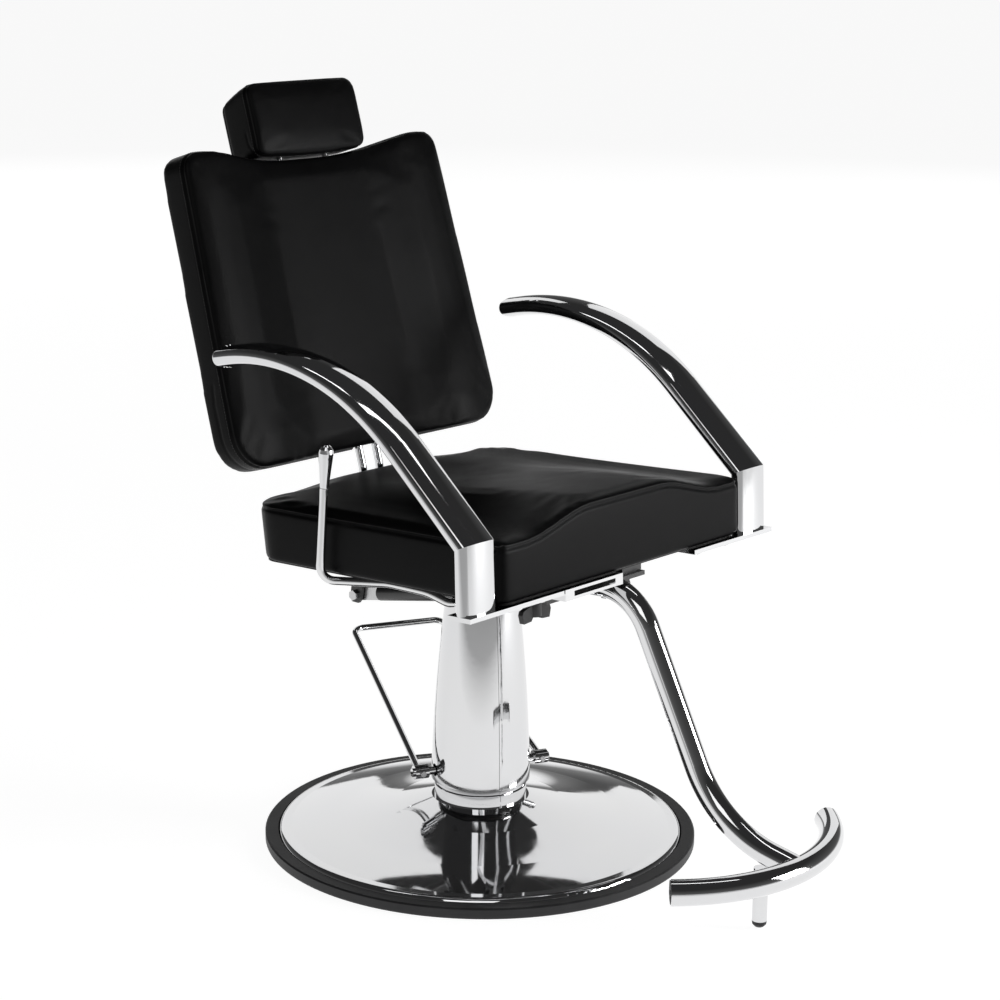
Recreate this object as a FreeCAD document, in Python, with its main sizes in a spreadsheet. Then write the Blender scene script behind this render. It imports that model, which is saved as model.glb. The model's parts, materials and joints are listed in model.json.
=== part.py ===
import FreeCAD, Part
import math
import os
import re
import Sketcher
from FreeCAD import Placement, Rotation, Vector

# Hydraulic barber chair, millimetres. +Z is up, the origin is on the floor at the
# centre of the round base, and the chair faces -Y. The sitter's right is -X.

DIMENSIONS = {
    # base
    "base_radius": 305, "ring_width": 21, "ring_height": 15, "dome_radius": 286,
    "dome_sheet": 2.5, "dome_top": 62, "base_turn": -26,
    "collar_radius": 65, "collar_shoulder": 80, "collar_top": 92, "base_bolt_circle": 54,
    "base_bolt_radius": 4,
    # pump, ram and cover
    "ram_radius": 22, "ram_bottom": 62, "ram_top": 392, "running_fit": 0.05,
    "housing_radius": 44, "housing_bottom": 24, "housing_top": 298, "gland_height": 14,
    "trunnion_height": 105, "trunnion_radius": 12, "trunnion_reach": 62,
    "cover_bottom": 88.5, "cover_top": 356, "cover_low_radius": 70, "cover_high_radius": 51,
    "cover_sheet": 1.6, "hub_radius": 41, "hub_bottom": 322,
    # foot lever
    "pump_pin_radius": 6, "pump_pin_end": 104, "pump_rod_radius": 4.8, "pump_collar_radius": 10,
    "bail_foot_half": 92, "bail_top_half": 72.6, "bail_reach": 355.8, "bail_tilt": 18.3,
    "bail_bend": 16,
    # seat, in its own tilted frame
    "seat_tilt": 2.8, "seat_height": 438.4, "seat_half_width": 254, "seat_front": -258,
    "seat_rear": 205, "seat_edge": 74, "seat_crown": 98, "board_sheet": 11, "board_inset": 9,
    "seat_wrap": 9.5,
    "frame_sheet": 6, "frame_half_width": 111, "flange_depth": 30,
    # armrests
    "arm_offset": 286, "arm_wide": 63, "arm_thin": 29, "oval_end": 11, "arm_wall": 2, "arm_post_y": -243,
    "arm_post": 85, "arm_rise": 44, "arm_run": 160, "arm_bend": 345, "arm_tip_fall": 9.2,
    "arm_tip_run": 16, "foot_bar_wide": 38, "foot_bar_sheet": 6, "foot_bar_end": 138,
    "arm_bolt_radius": 4, "arm_bolt_place": 165,
    # back
    "back_lean": 17, "back_y": 197, "back_z": 544, "back_half_width": 263, "back_top_half": 248,
    "back_length": 436, "back_side": 44, "back_wrap": 11, "back_hollow": 16, "back_board_sheet": 8,
    "back_panel_sheet": 5, "back_bar_radius": 6, "back_bar_offset": 17, "back_bar_depth": 30,
    "hinge_y": 142, "hinge_z": 402, "hinge_pin_radius": 7, "pivot_tube_radius": 12,
    "crank_x": -85, "strut_rear_y": 151, "strut_rear_z": 345, "strut_length": 240,
    "strut_rise": 10.9, "strut_radius": 11, "strut_pin_radius": 4,
    # headrest
    "head_half_width": 105, "head_low": 425, "head_length": 100, "head_depth": 72,
    "post_radius": 5, "post_offset": 45, "post_depth": 35.5, "post_length": 155,
    # footrest
    "foot_tube_radius": 16.5, "foot_tube_wall": 2, "foot_tube_drop": 38, "foot_root_y": -122,
    "foot_root_run": 91.6, "foot_bend_one": 82, "foot_fall": 65.8, "foot_straight": 190,
    "foot_bend_two": 172, "foot_end_fall": 12.8, "foot_end_run": 41.5, "cross_bar_radius": 17,
    "cross_bar_bend": 236,
    "cross_bar_sweep": 94, "cross_bar_front": -546, "cross_bar_height": 98,
    "knob_offset": 85, "knob_y": -165,
    # hand lever
    "lever_y": -72, "lever_z": 386, "lever_rod_radius": 5.75, "grip_radius": 10, "grip_length": 59,
}

doc = FreeCAD.newDocument("barber_chair")
sheet = doc.addObject("Spreadsheet::Sheet", "Dims")
for row, (alias, value) in enumerate(DIMENSIONS.items(), start=1):
    sheet.set(f"A{row}", alias)
    sheet.set(f"B{row}", str(value))
    sheet.setAlias(f"B{row}", alias)
doc.recompute()

SUBPARTS = []
ORIGIN = Placement()
EPS = 1e-9


# ---------------------------------------------------------------- helpers

def cell(text):
    """A formula in dimension names, with each name pointed at the sheet."""
    text = str(text)
    return re.sub(r"[a-z_]{3,}", lambda m: "Dims." + m[0] if m[0] in DIMENSIONS else m[0], text)


def num(text):
    """The number that a formula in dimension names gives."""
    value = sheet.evalExpression(cell(text))
    return float(getattr(value, "Value", value))


def bind(thing, prop, text):
    thing.setExpression(prop, cell(text))


def keep(thing, label, placement=ORIGIN):
    thing.Label = label
    thing.Placement = placement
    SUBPARTS.append(thing)
    return thing


def new_body(label, placement=ORIGIN):
    return keep(doc.addObject("PartDesign::Body", "Body_" + label), label, placement)


def origin_feature(body, role):
    return next(item for item in body.Origin.OriginFeatures if item.Role == role)


def new_sketch(body, name, role="XY_Plane", lift=0, turn=None):
    sketch = body.newObject("Sketcher::SketchObject", f"{body.Name}_{name}")
    sketch.AttachmentSupport = [(origin_feature(body, role), "")]
    sketch.MapMode = "FlatFace"
    sketch.AttachmentOffset = Placement(Vector(0, 0, num(lift)), turn or Rotation())
    return sketch


def pin_point(sketch, geo, pos, corner):
    """Hold one end of an edge at the place that two formulas give."""
    for kind, text in zip(("DistanceX", "DistanceY"), corner):
        index = sketch.addConstraint(Sketcher.Constraint(kind, -1, 1, geo, pos, num(text)))
        bind(sketch, f"Constraints[{index}]", text)


def arc_between(first, last, radius, turn):
    """The shorter arc from first to last, turning left (+1) or right (-1)."""
    chord = last - first
    middle = (first + last) * 0.5
    half = chord.Length / 2
    across = Vector(-chord.y, chord.x, 0).normalize()
    centre = middle + across * (turn * math.sqrt(max(radius * radius - half * half, 0)))
    top = centre - across * (turn * radius)
    return Part.Arc(first, top, last) if turn > 0 else Part.Arc(last, top, first)


def draw(sketch, corners, arcs=None, closed=True):
    """Lines and arcs through corners given as pairs of formulas.

    arcs maps an edge's number to (radius formula, turn)."""
    arcs = arcs or {}
    places = [Vector(num(x), num(y), 0) for x, y in corners]
    count = len(corners) if closed else len(corners) - 1
    starts = []
    ends = []
    for i in range(count):
        first = places[i]
        last = places[(i + 1) % len(places)]
        if i in arcs:
            edge = arc_between(first, last, num(arcs[i][0]), arcs[i][1])
            geo = sketch.addGeometry(edge, False)
            index = sketch.addConstraint(Sketcher.Constraint("Radius", geo, num(arcs[i][0])))
            bind(sketch, f"Constraints[{index}]", arcs[i][0])
            forward = (sketch.Geometry[geo].StartPoint - first).Length < 1e-4
        else:
            geo = sketch.addGeometry(Part.LineSegment(first, last), False)
            forward = True
        starts.append((geo, 1 if forward else 2))
        ends.append((geo, 2 if forward else 1))
    for i in range(count):
        pin_point(sketch, *starts[i], corners[i])
        if closed or i + 1 < count:
            following = starts[(i + 1) % count]
            sketch.addConstraint(Sketcher.Constraint("Coincident", *ends[i], *following))
        else:
            pin_point(sketch, *ends[i], corners[i + 1])
    return sketch


def draw_circle(sketch, centre, radius):
    place = Vector(num(centre[0]), num(centre[1]), 0)
    geo = sketch.addGeometry(Part.Circle(place, Vector(0, 0, 1), num(radius)), False)
    index = sketch.addConstraint(Sketcher.Constraint("Radius", geo, num(radius)))
    bind(sketch, f"Constraints[{index}]", radius)
    pin_point(sketch, geo, 3, centre)


def pad(body, sketch, length, both_ways=False, backwards=False):
    feature = body.newObject("PartDesign::Pad", f"{sketch.Name}_pad")
    feature.Profile = sketch
    feature.Midplane = both_ways
    feature.Reversed = backwards
    bind(feature, "Length", length)
    return feature


def pocket(body, sketch, length, both_ways=False, backwards=False):
    doc.recompute()
    before = body.Shape.Volume
    feature = body.newObject("PartDesign::Pocket", f"{sketch.Name}_pocket")
    feature.Profile = sketch
    feature.Midplane = both_ways
    feature.Reversed = backwards
    bind(feature, "Length", length)
    doc.recompute()
    if body.Shape.Volume >= before - EPS:
        raise RuntimeError(f"{sketch.Name} cut nothing")
    return feature


def turned(label, corners, placement=ORIGIN, arcs=None, sweep=360, both_ways=False):
    """A body of revolution about its own Z axis, from corners of (radius, height)."""
    body = new_body(label, placement)
    outline = draw(new_sketch(body, "outline", "XZ_Plane"), corners, arcs)
    feature = body.newObject("PartDesign::Revolution", f"{outline.Name}_turn")
    feature.Profile = outline
    feature.ReferenceAxis = (outline, ["V_Axis"])
    feature.Angle = sweep
    feature.Midplane = both_ways
    return body


def bolt_circle(body, low, length):
    """Clearance holes for the base bolts, upwards from a height."""
    for k in range(4):
        turn = math.radians(45 + 90 * k)
        reach = num("base_bolt_circle")
        hole = new_sketch(body, f"bolt_hole_{k}", "XY_Plane", lift=low)
        draw_circle(hole, (reach * math.cos(turn), reach * math.sin(turn)), "base_bolt_radius + 0.1")
        pocket(body, hole, length, backwards=True)


def ring_corners(inner, outer, low, high):
    return [(inner, low), (outer, low), (outer, high), (inner, high)]


def fuse_all(shapes):
    whole = shapes[0]
    for shape in shapes[1:]:
        whole = whole.fuse(shape)
    return whole.removeSplitter()


def group(label, shapes, placement=ORIGIN):
    """Several equal or joined solids in one sub-part, sized from the sheet."""
    thing = doc.addObject("Part::Feature", "Group_" + label)
    thing.Shape = shapes[0] if len(shapes) == 1 else Part.makeCompound(shapes)
    return keep(thing, label, placement)


def rod_path(points, bends):
    """Straight runs joined by tangent arcs of the given radii."""
    edges = []
    last = points[0]
    for i in range(1, len(points) - 1):
        into = (points[i] - points[i - 1]).normalize()
        away = (points[i + 1] - points[i]).normalize()
        turn = math.acos(max(-1, min(1, into.dot(away))))
        setback = bends[i - 1] * math.tan(turn / 2)
        begin = points[i] - into * setback
        end = points[i] + away * setback
        inward = (away - into).normalize()
        centre = points[i] + inward * (bends[i - 1] / math.cos(turn / 2))
        top = centre - inward * bends[i - 1]
        edges.append(Part.LineSegment(last, begin).toShape())
        edges.append(Part.Arc(begin, top, end).toShape())
        last = end
    edges.append(Part.LineSegment(last, points[-1]).toShape())
    return Part.Wire(edges)


def rod_shape(points, bends, radius):
    path = rod_path(points, bends)
    ahead = (points[1] - points[0]).normalize()
    ring = Part.Wire([Part.Circle(points[0], ahead, radius).toShape()])
    shape = path.makePipeShell([ring], True, True, 1)
    if abs(shape.Volume / (math.pi * radius ** 2 * path.Length) - 1) > 0.02:
        raise RuntimeError("a bent rod has the wrong volume")
    return shape


def hex_bolt(radius, length, head, washer=True):
    """A bolt hanging down from z = 0: shank upwards, head below."""
    parts = [Part.makeCylinder(radius, length, Vector(0, 0, -EPS))]
    flat = radius * 1.85
    corners = [
        Vector(flat * math.cos(math.radians(60 * k)), flat * math.sin(math.radians(60 * k)), -head)
        for k in range(7)
    ]
    parts.append(Part.Face(Part.makePolygon(corners)).extrude(Vector(0, 0, head)))
    if washer:
        parts.append(Part.makeCylinder(radius * 2.1, 1.2, Vector(0, 0, -1.2)))
    return fuse_all(parts)


def oval(sketch, grow="0"):
    """The armrest's section: a smooth oval of four arcs, grown outwards by grow."""
    reach = "(arm_wide / 2 - oval_end)"
    side = f"(({reach} ^ 2 + arm_thin ^ 2 / 4 - oval_end ^ 2) / (arm_thin - 2 * oval_end))"
    end = f"(oval_end + {grow})"
    x = f"({reach} * (1 + {end} / ({side} - oval_end)))"
    y = f"({end} * ({side} - arm_thin / 2) / ({side} - oval_end))"
    flat = (f"{side} + {grow}", 1)
    return draw(sketch, [(f"-{x}", f"-{y}"), (x, f"-{y}"), (x, y), (f"-{x}", y)],
                {0: flat, 1: (end, 1), 2: flat, 3: (end, 1)})


def pipe(body, section, path, corner="Transformed"):
    feature = body.newObject("PartDesign::AdditivePipe", f"{body.Name}_pipe")
    feature.Profile = section
    feature.Spine = (path, [])
    feature.Transition = corner
    return feature


# ---------------------------------------------------------------- frames

base_frame = Placement(Vector(0, 0, 0), Rotation(Vector(0, 0, 1), num("base_turn")))
seat_frame_place = Placement(
    Vector(0, 0, num("seat_height")), Rotation(Vector(1, 0, 0), -num("seat_tilt")))
back_frame_place = Placement(
    Vector(0, num("back_y"), num("back_z")), Rotation(Vector(1, 0, 0), -num("back_lean")))


def in_frame(frame, x, y, z, rotation=None):
    local = Placement(Vector(num(x), num(y), num(z)), rotation or Rotation())
    return frame.multiply(local)


TURN_X = Rotation(Vector(0, 1, 0), 90)       # a part's own Z laid along +X
TURN_MINUS_X = Rotation(Vector(0, 1, 0), -90)


# ---------------------------------------------------------------- base

def make_base():
    turned("base_trim_ring", [
        ("base_radius - ring_width", 0), ("base_radius - 1", 0), ("base_radius", 2),
        ("base_radius", "ring_height - 2"), ("base_radius - 2", "ring_height"),
        ("dome_radius + 0.5", "ring_height"), ("dome_radius + 0.5", 5),
        ("base_radius - ring_width", 5)])

    plate = turned("base_plate", [
        ("dome_radius", 5), ("dome_radius", 12), ("dome_radius - 8", 20),
        ("dome_radius - 18", 20.5), (200, 32), (120, 48), ("collar_radius + 4", "dome_top"),
        ("housing_radius + 1", "dome_top"), ("housing_radius + 1", "dome_top - dome_sheet"),
        ("collar_radius + 3", "dome_top - dome_sheet"), (119, "48 - dome_sheet"),
        (199, "32 - dome_sheet"), ("dome_radius - 18", "20.5 - dome_sheet"),
        ("dome_radius - 9", "20 - dome_sheet"), ("dome_radius - dome_sheet", 11),
        ("dome_radius - dome_sheet", 5)],
        arcs={1: (9, 1), 3: (900, 1), 4: (900, -1)}, placement=base_frame)
    bolt_circle(plate, "dome_top - 10", 12)

    collar = turned("base_collar", [
        ("housing_radius + 1", "dome_top"), ("collar_radius", "dome_top"),
        ("collar_radius", "collar_shoulder - 1"), ("collar_radius - 1", "collar_shoulder"),
        ("collar_radius - 2", "collar_shoulder"), ("collar_radius - 2", "collar_top"),
        ("housing_radius + 1", "collar_top")], base_frame)
    bolt_circle(collar, "dome_top - 1", 12)
    turned("cover_seat_ring", ring_corners(
        "collar_radius - 1.9", "cover_low_radius - cover_sheet - 0.4", "cover_bottom + 0.4",
        "collar_top - 0.1"), base_frame)

    bolts = []
    for k in range(4):
        bolt = hex_bolt(num("base_bolt_radius"), 22, 6)
        turn = math.radians(45 + 90 * k)
        reach = num("base_bolt_circle")
        bolt.translate(Vector(reach * math.cos(turn), reach * math.sin(turn), 49.5))
        bolts.append(bolt)
    group("base_bolts", bolts, base_frame)


def make_pump():
    body = new_body("pump_housing", base_frame)
    outline = draw(new_sketch(body, "outline", "XZ_Plane"), [
        (0, "housing_bottom"), ("housing_radius", "housing_bottom"), ("housing_radius", 49.5),
        ("collar_radius + 2", 49.5), ("collar_radius + 2", "dome_top - dome_sheet"),
        ("housing_radius", "dome_top - dome_sheet"), ("housing_radius", "housing_top"),
        ("ram_radius + running_fit", "housing_top"), ("ram_radius + running_fit", 34), (0, 34)])
    feature = body.newObject("PartDesign::Revolution", "Housing_turn")
    feature.Profile = outline
    feature.ReferenceAxis = (outline, ["V_Axis"])
    feature.Angle = 360
    trunnion = new_sketch(body, "trunnion", "YZ_Plane")
    draw_circle(trunnion, (0, "trunnion_height"), "trunnion_radius")
    pad(body, trunnion, "2 * trunnion_reach", both_ways=True)
    bore = new_sketch(body, "bore", "XZ_Plane")
    draw(bore, ring_corners(0, "ram_radius + running_fit", 34, "housing_top + 1"))
    doc.recompute()
    clear = body.newObject("PartDesign::Groove", "Housing_bore")
    clear.Profile = bore
    clear.ReferenceAxis = (bore, ["V_Axis"])
    clear.Angle = 360
    for side in (-1, 1):
        blind = new_sketch(body, f"pin_bore_{side + 1}", "YZ_Plane", lift=side * 30)
        draw_circle(blind, (0, "trunnion_height"), "pump_pin_radius + running_fit")
        pocket(body, blind, "trunnion_reach - 30 + 1", backwards=side > 0)
    bolt_circle(body, 40, 19.6)

    turned("pump_gland", [
        ("ram_radius + running_fit", "housing_top"), ("housing_radius - 2", "housing_top"),
        ("housing_radius - 2", "housing_top + gland_height - 3"),
        ("housing_radius - 5", "housing_top + gland_height"),
        ("ram_radius + running_fit", "housing_top + gland_height")])

    turned("ram", [
        (0, "ram_bottom"), ("ram_radius", "ram_bottom"), ("ram_radius", "ram_top - 2"),
        ("ram_radius - 2", "ram_top"), (0, "ram_top")])


def make_cover():
    body = new_body("column_cover", base_frame)
    outline = draw(new_sketch(body, "outline", "XZ_Plane"), [
        ("cover_low_radius - cover_sheet", "cover_bottom"), ("cover_low_radius", "cover_bottom"),
        ("cover_high_radius", "cover_top"), ("cover_high_radius - cover_sheet", "cover_top")],
        arcs={1: (2600, 1), 3: (2600, -1)})
    feature = body.newObject("PartDesign::Revolution", "Cover_turn")
    feature.Profile = outline
    feature.ReferenceAxis = (outline, ["V_Axis"])
    feature.Angle = 360
    slot = new_sketch(body, "slot", "YZ_Plane")
    draw_circle(slot, (0, "trunnion_height"), "pump_pin_radius + 3")
    pocket(body, slot, 200, both_ways=True)
    seam = new_sketch(body, "seam", "XY_Plane", lift="cover_bottom - 1")
    draw(seam, [(-0.3, "-cover_low_radius - 5"), (0.3, "-cover_low_radius - 5"), (0.3, -40), (-0.3, -40)])
    pocket(body, seam, "cover_top - cover_bottom + 2", backwards=True)


def make_foot_lever():
    pins = []
    collars = []
    screws = []
    height = num("trunnion_height")
    pin_radius = num("pump_pin_radius")
    collar_radius = num("pump_collar_radius")
    down = Vector(0, -1, 0)
    for side in (-1, 1):
        out = Vector(side, 0, 0)
        pins.append(Part.makeCylinder(
            pin_radius, num("pump_pin_end") - 38, Vector(side * 38, 0, height), out))
        middle = Vector(side * 91, 0, height)
        collar = Part.makeCylinder(collar_radius, 20, middle - out * 10, out)
        collar = collar.cut(Part.makeCylinder(pin_radius + 0.02, 20, middle - out * 10, out))
        tapped = Part.makeCylinder(2.55, collar_radius, middle, down)
        collars.append(collar.cut(tapped))
        start = middle + down * (pin_radius + 0.2)
        shank = Part.makeCylinder(2.5, collar_radius - pin_radius, start, down)
        cap = Part.makeCylinder(4, 3, middle + down * (collar_radius + 0.1), down)
        screws.append(shank.fuse(cap))
    group("pump_pins", pins, base_frame)
    group("pump_collars", collars, base_frame)
    group("pump_set_screws", screws, base_frame)

    tilt = math.radians(num("bail_tilt"))
    ahead = Vector(0, math.cos(tilt), math.sin(tilt))
    foot = num("bail_foot_half")
    top = num("bail_top_half")
    start = num("pump_collar_radius") - 0.3
    middle = Vector(0, 0, height)
    corners = [Vector(-foot, 0, 0), Vector(-top, 0, 0), Vector(top, 0, 0), Vector(foot, 0, 0)]
    points = [corners[0] + middle + ahead * start, corners[1] + middle + ahead * num("bail_reach"),
              corners[2] + middle + ahead * num("bail_reach"), corners[3] + middle + ahead * start]
    bend = num("bail_bend")
    bail = rod_shape(points, [bend, bend], num("pump_rod_radius"))
    for collar in collars:
        bail = bail.cut(collar)
    group("pump_bail", [bail], base_frame)


# ---------------------------------------------------------------- seat

def make_hub():
    bore = "ram_radius + running_fit"
    body = new_body("mount_hub")
    outline = draw(new_sketch(body, "outline", "XZ_Plane"), [
        (bore, "hub_bottom"), ("hub_radius - 2", "hub_bottom"), ("hub_radius", "hub_bottom + 2"),
        ("hub_radius", 424), (0, 424), (0, "ram_top + 0.5"), (bore, "ram_top + 0.5")])
    feature = body.newObject("PartDesign::Revolution", "Hub_turn")
    feature.Profile = outline
    feature.ReferenceAxis = (outline, ["V_Axis"])
    feature.Angle = 360
    plane = new_sketch(body, "seat_plane", "YZ_Plane")
    drop = "(board_sheet + frame_sheet + 0.1)"
    rise = "60 * tan(seat_tilt)"
    draw(plane, [
        (-60, f"seat_height - {drop} + {rise}"), (60, f"seat_height - {drop} - {rise}"),
        (60, 440), (-60, 440)])
    pocket(body, plane, 120, both_ways=True)


def make_seat_frame():
    body = new_body("seat_frame", seat_frame_place)
    top = new_sketch(body, "plate", "XY_Plane", lift="-(board_sheet + frame_sheet)")
    half = "frame_half_width"
    draw(top, [(f"-{half}", -200), (half, -200), (half, 62), (f"-{half}", 62)])
    pad(body, top, "frame_sheet")
    low = "-(board_sheet + flange_depth)"
    high = "-board_sheet"
    for side in (-1, 1):
        flange = new_sketch(body, f"flange_{side + 1}", "YZ_Plane", lift=side * num(half))
        draw(flange, [
            (-200, high), (-200, -24), (-120, low), (120, low), ("hinge_y + 4", -48),
            ("hinge_y + 18", -40), ("hinge_y + 18", -22), ("hinge_y + 8", high)])
        pad(body, flange, "frame_sheet", backwards=side > 0)
    lever_v, lever_w = to_seat((num("lever_y"), num("lever_z")))
    bracket = new_sketch(body, "lever_bracket", "YZ_Plane", lift="-frame_half_width")
    draw(bracket, [
        (lever_v - 24, f"{low} + 2"), (lever_v - 13, lever_w - 6), (lever_v - 7, lever_w - 13),
        (lever_v + 7, lever_w - 13), (lever_v + 13, lever_w - 6), (lever_v + 24, f"{low} + 2")])
    pad(body, bracket, "frame_sheet")
    pivot = new_sketch(body, "lever_pivot", "YZ_Plane", lift="-frame_half_width")
    draw_circle(pivot, (lever_v, lever_w), "lever_rod_radius + running_fit")
    pocket(body, pivot, 24, both_ways=True)
    bore = new_sketch(body, "hinge_bore", "YZ_Plane")
    draw_circle(bore, to_seat((num("hinge_y"), num("hinge_z"))), "hinge_pin_radius + 0.02")
    pocket(body, bore, 300, both_ways=True)
    # pads that the footrest carriage is clamped against
    for side in (-1, 1):
        block = new_sketch(body, f"pad_{side + 1}", "XY_Plane", lift="-(board_sheet + frame_sheet)")
        near = side * 64
        far = f"{side} * ({half} - frame_sheet)"
        draw(block, [(near, -195), (far, -195), (far, -128), (near, -128)])
        pad(body, block, "foot_tube_drop + 2 - board_sheet - frame_sheet", backwards=True)
        tapped = new_sketch(body, f"tapped_{side + 1}", "XY_Plane", lift="-(foot_tube_drop + 2)")
        draw_circle(tapped, (f"{side} * knob_offset", "knob_y"), 4.1)
        pocket(body, tapped, 18, backwards=True)
    # lug of the gas spring's front pin
    front = strut_front()
    v, w = to_seat(front)
    for side in (-1, 1):
        lug = new_sketch(body, f"strut_lug_{side + 1}", "YZ_Plane", lift=num("crank_x") + side * 9)
        draw(lug, [
            (v - 22, "-(board_sheet + frame_sheet) + 1"), (v - 9, w - 3), (v - 6, w - 9),
            (v + 6, w - 9), (v + 9, w - 3), (v + 16, "-(board_sheet + frame_sheet) + 1")])
        pad(body, lug, 5, backwards=side < 0)
    pin_hole = new_sketch(body, "strut_pin_hole", "YZ_Plane", lift=num("crank_x"))
    draw_circle(pin_hole, (v, w), "strut_pin_radius + 0.02")
    pocket(body, pin_hole, 34, both_ways=True)
    # holes for the board's bolts
    for k, (x, y) in enumerate(BOARD_BOLTS):
        hole = new_sketch(body, f"board_hole_{k}", "XY_Plane", lift="-(board_sheet + frame_sheet) - 1")
        draw_circle(hole, (x, y), 3.3)
        pocket(body, hole, "frame_sheet + 2", backwards=True)


BOARD_BOLTS = [(-85, -100), (85, -100), (-85, 45), (85, 45)]


def to_seat(point):
    """A place (y, z) in the chair's frame, as (v, w) in the seat's tilted frame."""
    turn = math.radians(num("seat_tilt"))
    y, z = point
    drop = z - num("seat_height")
    return y * math.cos(turn) - drop * math.sin(turn), y * math.sin(turn) + drop * math.cos(turn)


def strut_front():
    rise = math.radians(num("strut_rise"))
    return (num("strut_rear_y") - num("strut_length") * math.cos(rise),
            num("strut_rear_z") + num("strut_length") * math.sin(rise))


def board_outline(sketch, grow=0):
    half = f"(seat_half_width - board_inset + {grow})"
    front = f"(seat_front + board_inset - {grow})"
    rear = f"(seat_rear - 14 + {grow})"
    draw(sketch, [
        (f"-{half} + 20", front), (f"{half} - 20", front), (half, f"{front} + 20"),
        (half, f"{rear} - 30"), (f"{half} - 30", rear), (f"-{half} + 30", rear),
        (f"-{half}", f"{rear} - 30"), (f"-{half}", f"{front} + 20")],
        arcs={1: (20, 1), 3: (30, 1), 5: (30, 1), 7: (20, 1)})


def make_seat():
    body = new_body("seat_board", seat_frame_place)
    outline = new_sketch(body, "outline", "XY_Plane", lift="-board_sheet")
    board_outline(outline)
    pad(body, outline, "board_sheet")

    body = new_body("seat_cushion", seat_frame_place)
    section = new_sketch(body, "front_section", "XZ_Plane", lift="-seat_front")
    section_points = [
        ("-seat_half_width", "-seat_wrap"), ("seat_half_width", "-seat_wrap"),
        ("seat_half_width", "seat_edge"),
        (195, "seat_edge"), (95, "seat_crown"), (-95, "seat_crown"), (-195, "seat_edge"),
        ("-seat_half_width", "seat_edge")]
    draw(section, section_points)
    rear_section = new_sketch(body, "rear_section", "XZ_Plane", lift="-seat_rear")
    draw(rear_section, [(x, "seat_edge + 2" if y == "seat_crown" else y) for x, y in section_points])
    loft = body.newObject("PartDesign::AdditiveLoft", "Cushion_loft")
    loft.Profile = section
    loft.Sections = [rear_section]
    loft.Ruled = True
    doc.recompute()
    rear = new_sketch(body, "rear_corners", "XY_Plane", lift="-seat_wrap - 1")
    reach = 44
    for side in (-1, 1):
        corner = f"{side} * seat_half_width"
        inner = f"{side} * (seat_half_width - {reach})"
        beyond = f"{side} * (seat_half_width + 5)"
        draw(rear, [
            (corner, f"seat_rear - {reach}"), (inner, "seat_rear"), (inner, "seat_rear + 5"),
            (beyond, "seat_rear + 5"), (beyond, f"seat_rear - {reach}")], arcs={0: (reach, side)})
    pocket(body, rear, 130, backwards=True)
    under = new_sketch(body, "rear_undercut", "YZ_Plane")
    low = "-seat_wrap - 1"
    draw(under, [("seat_rear - 7", low), ("seat_rear + 5", low), ("seat_rear + 5", "seat_edge")])
    pocket(body, under, 600, both_ways=True)
    # the vinyl wraps down round the board's edge
    recess = new_sketch(body, "board_recess", "XY_Plane", lift=low)
    board_outline(recess, 0.5)
    pocket(body, recess, "seat_wrap + 1", backwards=True)

    bolts = []
    for x, y in BOARD_BOLTS:
        bolt = hex_bolt(3, 5.9, 4)
        bolt.translate(Vector(x, y, -num("board_sheet") - num("frame_sheet")))
        bolts.append(bolt)
    group("board_bolts", bolts, seat_frame_place)


def make_arm(label, side):
    """One armrest: a mitred post and a long bent tube, on a foot bar."""
    place = in_frame(seat_frame_place, f"{side} * arm_offset", "arm_post_y", "-board_sheet")
    body = new_body(label, place)
    section = new_sketch(body, "section", "XY_Plane")
    oval(section)
    oval(section, "(-arm_wall)")
    rise = math.radians(num("arm_rise"))
    fall = math.radians(num("arm_tip_fall"))
    run = num("arm_run")
    bend = num("arm_bend")
    tip = num("arm_tip_run")
    shoulder = (run * math.cos(rise), num("arm_post") + run * math.sin(rise))
    turned_to = (shoulder[0] + bend * (math.sin(rise) + math.sin(fall)),
                 shoulder[1] + bend * (math.cos(fall) - math.cos(rise)))
    end = (turned_to[0] + tip * math.cos(fall), turned_to[1] - tip * math.sin(fall))
    path = new_sketch(body, "path", "YZ_Plane")
    draw(path, [(0, 0), (0, "arm_post"), shoulder, turned_to, end],
         arcs={2: ("arm_bend", -1)}, closed=False)
    pipe(body, section, path, "Right corner")
    doc.recompute()
    bar = new_sketch(body, "foot_bar", "XY_Plane", lift="-foot_bar_sheet")
    outer = f"{side} * arm_wide / 2"
    inner = f"-({side}) * (arm_offset - foot_bar_end)"
    wide = "foot_bar_wide / 2"
    draw(bar, [(outer, f"-({wide})"), (inner, f"-({wide})"), (inner, wide), (outer, wide)])
    pad(body, bar, "foot_bar_sheet")
    for k, reach in enumerate(("arm_bolt_place", "arm_bolt_place + 62")):
        hole = new_sketch(body, f"bolt_hole_{k}", "XY_Plane", lift="-foot_bar_sheet - 1")
        draw_circle(hole, (f"-({side}) * (arm_offset - ({reach}))", 0), "arm_bolt_radius + 0.3")
        pocket(body, hole, "foot_bar_sheet + 2", backwards=True)

    cap_place = place.multiply(Placement(
        Vector(0, end[0], end[1]), Rotation(Vector(1, 0, 0), -90 - num("arm_tip_fall"))))
    cap = new_body(label + "_cap", cap_place)
    rim = new_sketch(cap, "rim", "XY_Plane")
    oval(rim)
    lip = pad(cap, rim, 5)
    doc.recompute()
    soften = cap.newObject("PartDesign::Fillet", label + "_cap_round")
    top_face = max(range(len(lip.Shape.Faces)), key=lambda i: lip.Shape.Faces[i].CenterOfMass.z)
    soften.Base = (lip, [f"Face{top_face + 1}"])
    soften.Radius = 4
    doc.recompute()


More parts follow.
